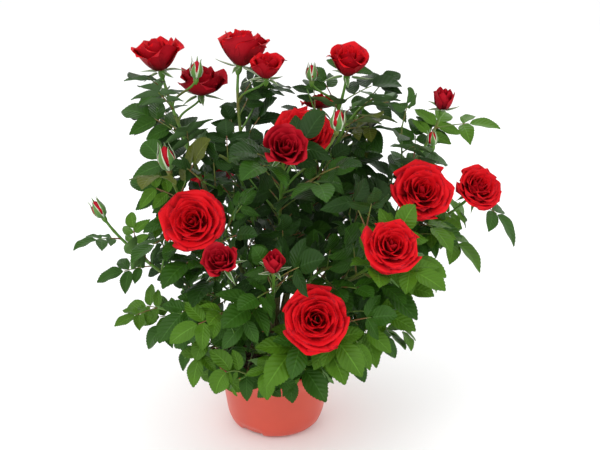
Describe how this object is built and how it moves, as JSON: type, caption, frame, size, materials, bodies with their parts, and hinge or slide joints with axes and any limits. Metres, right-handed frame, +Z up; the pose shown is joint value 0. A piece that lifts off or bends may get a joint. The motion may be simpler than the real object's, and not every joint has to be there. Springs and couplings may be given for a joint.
{
  "type": "potted rose bush",
  "caption": "Small bushy rose in full red bloom, with arching leafy canes that spread above a rounded flared plastic pot.",
  "frame": {"origin": "centre of the pot's flat underside", "axes": "+Z up; -Y is the front, which the most open blooms face; +X is to the right as seen from the front"},
  "size_m": [0.4295, 0.3243, 0.4125],
  "materials": {
    "pot": "satin moulded terracotta-coloured plastic",
    "compost": "coarse peaty compost",
    "bark": "rough brown bark",
    "cane": "smooth green bark with a red-brown blush",
    "foliage": "leathery half-glossy leaves",
    "petals": "velvety red petals"
  },
  "bodies": {
    "root": {"cane_back": "cane", "cane_back_left": "cane", "cane_back_right": "cane", "cane_back_top": "cane", "cane_centre": "cane", "cane_front_left": "cane", "cane_front_low": "cane", "cane_front_middle": "cane", "cane_inner_left": "cane", "cane_inner_right": "cane", "cane_left_far": "cane", "cane_left_low": "cane", "cane_left_upper": "cane", "cane_middle_front": "cane", "cane_middle_left": "cane", "cane_right": "cane", "cane_right_far": "cane", "cane_right_front": "cane", "cane_right_low": "cane", "cane_right_upper": "cane", "cane_top_centre": "cane", "cane_top_left": "cane", "cane_top_right": "cane", "compost": "compost", "crown": "bark", "pot": "pot", "shoot_back": "foliage", "shoot_back_left": "foliage", "shoot_back_right": "foliage", "shoot_back_top": "foliage", "shoot_centre": "foliage", "shoot_front_left": "foliage", "shoot_front_low": "foliage", "shoot_front_middle": "foliage", "shoot_inner_left": "foliage", "shoot_inner_right": "foliage", "shoot_left_far": "foliage", "shoot_left_low": "foliage", "shoot_left_upper": "foliage", "shoot_middle_front": "foliage", "shoot_middle_left": "foliage", "shoot_right": "foliage", "shoot_right_far": "foliage", "shoot_right_front": "foliage", "shoot_right_low": "foliage", "shoot_right_upper": "foliage", "shoot_skirt_back_left": "foliage", "shoot_skirt_back_right": "foliage", "shoot_skirt_front": "foliage", "shoot_skirt_front_left": "foliage", "shoot_skirt_front_right": "foliage", "shoot_skirt_left": "foliage", "shoot_skirt_right": "foliage", "shoot_top_centre": "foliage", "shoot_top_left": "foliage", "shoot_top_right": "foliage"}
  },
  "joints": []
}
